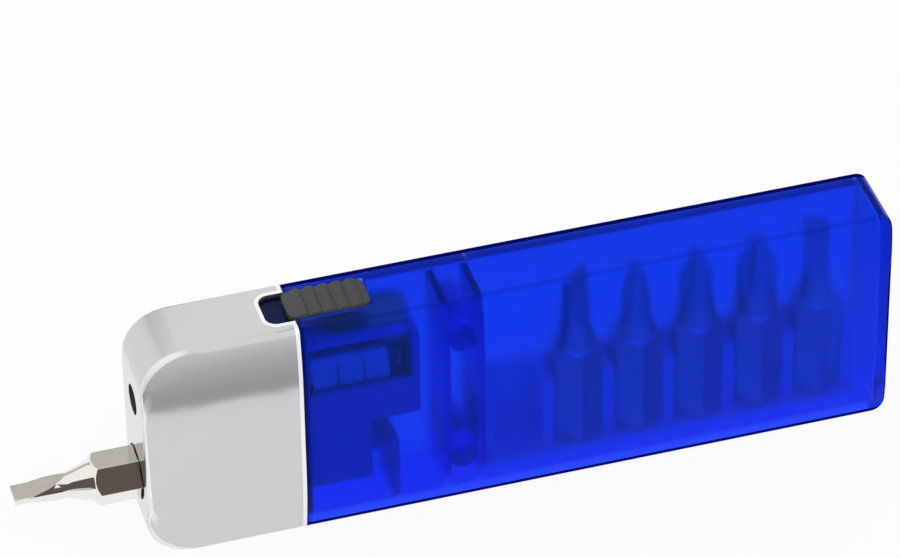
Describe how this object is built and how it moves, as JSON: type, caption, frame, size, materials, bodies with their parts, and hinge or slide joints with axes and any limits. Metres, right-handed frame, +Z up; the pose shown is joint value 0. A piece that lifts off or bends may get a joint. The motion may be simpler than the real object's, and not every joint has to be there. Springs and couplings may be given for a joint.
{
  "type": "pocket screwdriver",
  "caption": "Flat pocket screwdriver with a lamp: silver head with hex socket and switch, clear blue case with a rear door over a rack of spare bits.",
  "frame": {"origin": "on the surface that the long narrow edge stands on, under the middle of the whole length and of the thickness", "axes": "+X from the driving end to the tail, +Y from the front face to the rear face, +Z up along the width of the faces"},
  "size_m": [0.1218, 0.0126, 0.0348],
  "materials": {
    "silver_paint": "satin silver coat on moulded plastic",
    "clear_blue": "glossy tinted clear plastic",
    "screw_steel": "plated",
    "frame_plastic": "moulded, tinted",
    "socket_steel": "blackened",
    "magnet_nickel": "nickel plated",
    "lamp_lens": "clear epoxy",
    "lead_tin": "tinned wire",
    "cell_steel": "bright can",
    "spring_wire": "drawn wire",
    "contact_brass": "stamped strip",
    "pin_steel": "drawn wire",
    "knob_plastic": "fine texture",
    "bit_steel": "satin plated",
    "rack_plastic": "moulded, tinted"
  },
  "bodies": {
    "body": {"head_cap": "silver_paint", "case_front": "clear_blue", "rear_cover": "clear_blue", "cover_screws": "screw_steel", "chassis": "frame_plastic", "bit_socket": "socket_steel", "socket_magnet": "magnet_nickel", "led_lamp": "lamp_lens", "led_leads": "lead_tin", "cell_1": "cell_steel", "cell_2": "cell_steel", "cell_3": "cell_steel", "battery_spring": "spring_wire", "cell_contact": "contact_brass", "spring_contact": "contact_brass", "lamp_contact": "contact_brass", "hinge_pin": "pin_steel"},
    "switch": {"switch_knob": "knob_plastic", "switch_wiper": "contact_brass"},
    "bit": {"driver_bit": "bit_steel"},
    "door": {"bit_door": "clear_blue", "bit_rack": "rack_plastic", "spare_bit_1": "bit_steel", "spare_bit_2": "bit_steel", "spare_bit_3": "bit_steel", "spare_bit_4": "bit_steel", "spare_bit_5": "bit_steel"}
  },
  "joints": [
    {"name": "switch_slide", "type": "slide", "parent": "body", "child": "switch", "axis": [-1, 0, 0], "range_m": [0, 0.0028]},
    {"name": "bit_pull", "type": "slide", "parent": "body", "child": "bit", "axis": [-1, 0, 0], "range_m": [0, 0.012]},
    {"name": "door_hinge", "type": "hinge", "parent": "body", "child": "door", "pos_m": [0.0314, 0.0045, 0.0033], "axis": [-1, 0, 0], "range_deg": [0, 90]}
  ]
}
